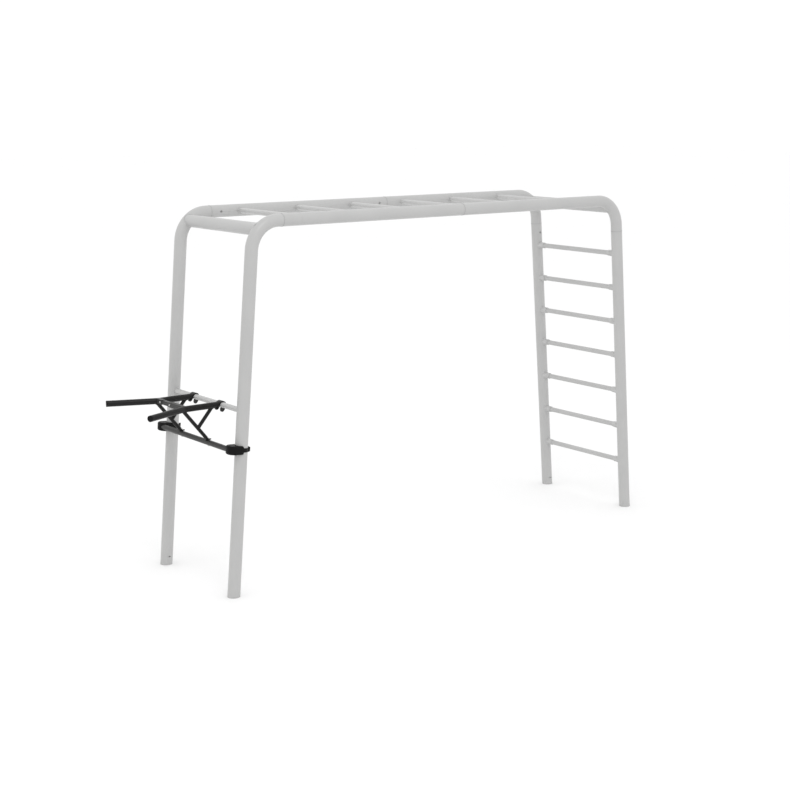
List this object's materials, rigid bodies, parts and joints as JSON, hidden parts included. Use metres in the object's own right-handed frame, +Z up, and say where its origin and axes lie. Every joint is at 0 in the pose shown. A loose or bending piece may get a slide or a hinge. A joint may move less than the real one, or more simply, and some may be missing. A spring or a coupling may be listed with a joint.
{
  "type": "monkey bars",
  "caption": "Steel monkey bars: an arched tube frame with overhead rungs, a ladder end, a tumble bar and a strap-on dip-bar attachment with hooks, struts and cam-buckled straps.",
  "frame": {"origin": "on the ground, midway between the four feet", "axes": "+X along the top rails towards the ladder end, +Y across to the far side, +Z up"},
  "size_m": [3.7677, 0.895, 2.229],
  "materials": {
    "frame_paint": "satin light grey powder coat",
    "rung_paint": "smooth light grey powder coat",
    "bare_steel": "satin galvanised steel",
    "ring_rubber": "matt",
    "zinc_steel": "bright zinc plate",
    "dark_zinc": "dull dark zinc plate",
    "foot_plastic": "matt",
    "grey_plastic": "fine-grained",
    "black_plastic": "fine-grained",
    "black_webbing": "woven polyester",
    "black_paint": "satin black powder coat",
    "dark_grey_paint": "satin dark grey powder coat"
  },
  "bodies": {
    "frame": {"anchor_grommets": "grey_plastic", "buckle_frame_far": "black_paint", "buckle_frame_near": "black_paint", "buckle_pins": "zinc_steel", "cross_tie_bolts": "zinc_steel", "cross_tie_inner": "dark_grey_paint", "cross_tie_sleeve": "dark_grey_paint", "cross_tie_socket": "dark_grey_paint", "dip_arm_caps": "black_plastic", "dip_arm_far": "black_paint", "dip_arm_near": "black_paint", "hook_far": "black_paint", "hook_near": "black_paint", "joint_bolts": "dark_zinc", "joint_rings": "ring_rubber", "joint_spigots": "bare_steel", "ladder_rung_1": "frame_paint", "ladder_rung_2": "frame_paint", "ladder_rung_3": "frame_paint", "ladder_rung_4": "frame_paint", "ladder_rung_5": "frame_paint", "ladder_rung_6": "frame_paint", "ladder_rung_7": "frame_paint", "ladder_rung_collars": "grey_plastic", "left_crossbar": "frame_paint", "left_foot_cap_far": "foot_plastic", "left_foot_cap_near": "foot_plastic", "left_leg_far": "frame_paint", "left_leg_near": "frame_paint", "lower_tube": "dark_grey_paint", "main_strut_far": "black_paint", "main_strut_near": "black_paint", "mid_rail_far": "frame_paint", "mid_rail_near": "frame_paint", "monkey_rung_1": "rung_paint", "monkey_rung_2": "rung_paint", "monkey_rung_3": "rung_paint", "monkey_rung_4": "rung_paint", "monkey_rung_5": "rung_paint", "monkey_rung_6": "rung_paint", "monkey_rung_collars": "grey_plastic", "right_crossbar": "frame_paint", "right_foot_cap_far": "foot_plastic", "right_foot_cap_near": "foot_plastic", "right_leg_far": "frame_paint", "right_leg_near": "frame_paint", "right_rail_far": "frame_paint", "right_rail_near": "frame_paint", "saddle_far": "black_plastic", "saddle_near": "black_plastic", "short_strut_far": "black_paint", "short_strut_near": "black_paint", "strap_far": "black_webbing", "strap_near": "black_webbing", "strut_bolts": "zinc_steel", "tumble_bar": "rung_paint"},
    "near_lever": {"buckle_lever_near": "black_paint"},
    "far_lever": {"buckle_lever_far": "black_paint"}
  },
  "joints": [
    {"name": "near_buckle_lever", "type": "hinge", "parent": "frame", "child": "near_lever", "pos_m": [-1.52121, -0.3915, 0.87603], "axis": [0.0816, 0, 0.9967], "range_deg": [0, 100]},
    {"name": "far_buckle_lever", "type": "hinge", "parent": "frame", "child": "far_lever", "pos_m": [-1.52121, 0.3915, 0.87603], "axis": [-0.0816, 0, -0.9967], "range_deg": [0, 100]}
  ]
}
